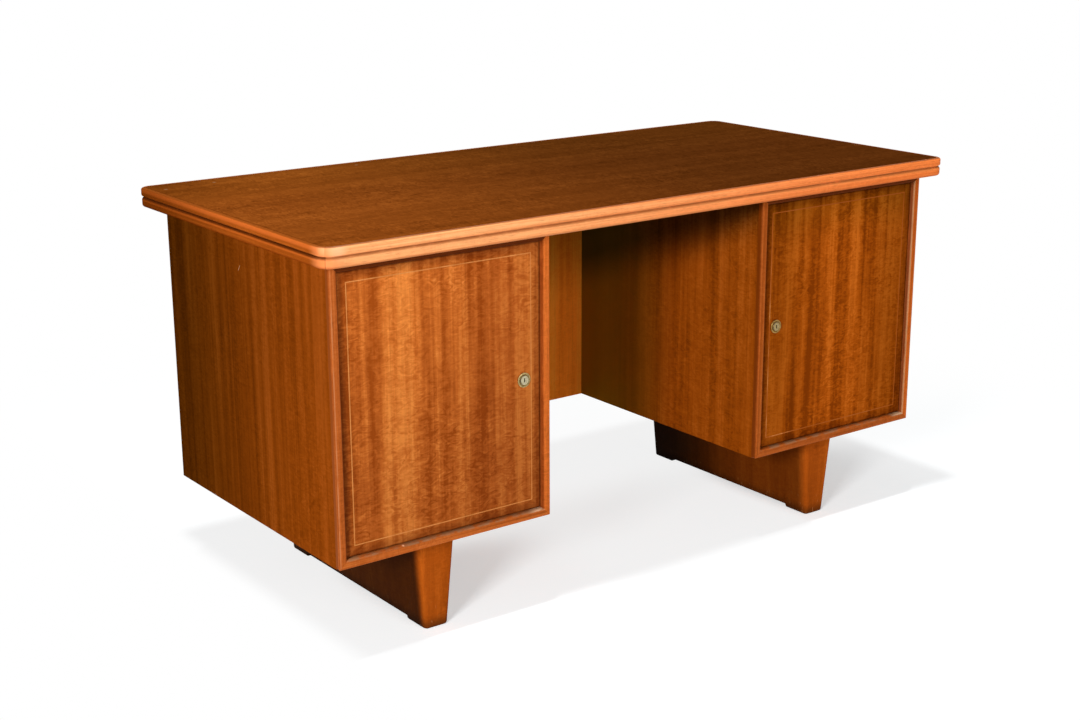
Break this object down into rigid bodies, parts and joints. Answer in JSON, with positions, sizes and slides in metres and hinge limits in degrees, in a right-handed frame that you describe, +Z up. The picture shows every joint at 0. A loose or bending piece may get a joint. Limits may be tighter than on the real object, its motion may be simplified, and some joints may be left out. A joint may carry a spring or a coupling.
{
  "type": "pedestal desk",
  "caption": "Pedestal writing desk with a beaded, lipped top, lockable inset-door cupboards with shelves, a modesty panel and tapered sled runners.",
  "frame": {"origin": "on the floor under the middle of the top", "axes": "+X along the desk's length, +Y to the visitor's side (the doors face -Y), +Z up"},
  "size_m": [1.5, 0.725, 0.765],
  "materials": {
    "top_veneer": "satin, dark brown, lengthwise grain",
    "lipping": "satin, light orange-brown solid wood",
    "side_veneer": "satin, striped, upright grain",
    "frame_wood": "satin solid wood",
    "door_veneer": "satin, mottled ribbon figure",
    "inlay": "satin, pale string",
    "inner_wood": "plain lacquered",
    "runner_wood": "satin solid wood",
    "brass": "aged, satin",
    "lock_steel": "zinc plated"
  },
  "bodies": {
    "carcass": {"top_panel": "top_veneer", "top_front_lipping": "lipping", "top_back_lipping": "lipping", "top_left_lipping": "lipping", "top_right_lipping": "lipping", "modesty_panel": "side_veneer", "modesty_cleats": "inner_wood", "left_inner_side": "side_veneer", "left_outer_side": "side_veneer", "left_carcass_bottom": "inner_wood", "left_carcass_top": "inner_wood", "left_back_panel": "side_veneer", "left_strike_plate": "brass", "left_bottom_rail": "frame_wood", "left_top_rail": "frame_wood", "left_inner_stile": "frame_wood", "left_outer_stile": "frame_wood", "left_shelf": "inner_wood", "left_shelf_battens": "inner_wood", "left_lower_hinge_carcass_plate": "brass", "left_upper_hinge_carcass_plate": "brass", "left_door_stop": "inner_wood", "left_runner": "runner_wood", "right_inner_side": "side_veneer", "right_outer_side": "side_veneer", "right_carcass_bottom": "inner_wood", "right_carcass_top": "inner_wood", "right_back_panel": "side_veneer", "right_strike_plate": "brass", "right_bottom_rail": "frame_wood", "right_top_rail": "frame_wood", "right_inner_stile": "frame_wood", "right_outer_stile": "frame_wood", "right_shelf": "inner_wood", "right_shelf_battens": "inner_wood", "right_lower_hinge_carcass_plate": "brass", "right_upper_hinge_carcass_plate": "brass", "right_door_stop": "inner_wood", "right_runner": "runner_wood"},
    "left_door": {"left_door": "door_veneer", "left_door_inlay": "inlay", "left_lock_rosette": "brass", "left_lock_case": "lock_steel", "left_lower_hinge_pin_plate": "brass", "left_upper_hinge_pin_plate": "brass"},
    "left_lock_plug": {"left_lock_plug": "brass"},
    "left_lock_bolt": {"left_lock_bolt": "brass"},
    "right_door": {"right_door": "door_veneer", "right_door_inlay": "inlay", "right_lock_rosette": "brass", "right_lock_case": "lock_steel", "right_lower_hinge_pin_plate": "brass", "right_upper_hinge_pin_plate": "brass"},
    "right_lock_plug": {"right_lock_plug": "brass"},
    "right_lock_bolt": {"right_lock_bolt": "brass"}
  },
  "joints": [
    {"name": "left_door_swing", "type": "hinge", "parent": "carcass", "child": "left_door", "pos_m": [-0.6712, -0.3045, 0.456], "axis": [0, 0, -1], "range_deg": [0, 110]},
    {"name": "left_lock_turn", "type": "hinge", "parent": "left_door", "child": "left_lock_plug", "pos_m": [-0.3168, -0.3135, 0.456], "axis": [0, 1, 0], "range_deg": [0, 90]},
    {"name": "left_bolt_slide", "type": "slide", "parent": "left_door", "child": "left_lock_bolt", "axis": [1, 0, 0], "range_m": [0, 0.009]},
    {"name": "right_door_swing", "type": "hinge", "parent": "carcass", "child": "right_door", "pos_m": [0.6712, -0.3045, 0.456], "axis": [0, 0, 1], "range_deg": [0, 110]},
    {"name": "right_lock_turn", "type": "hinge", "parent": "right_door", "child": "right_lock_plug", "pos_m": [0.3168, -0.3135, 0.456], "axis": [0, -1, 0], "range_deg": [0, 90]},
    {"name": "right_bolt_slide", "type": "slide", "parent": "right_door", "child": "right_lock_bolt", "axis": [-1, 0, 0], "range_m": [0, 0.009]}
  ],
  "couplings": [
    {"joint": "left_lock_turn", "follows": "left_bolt_slide", "rad_per_m": 174.53},
    {"joint": "right_lock_turn", "follows": "right_bolt_slide", "rad_per_m": 174.53}
  ]
}
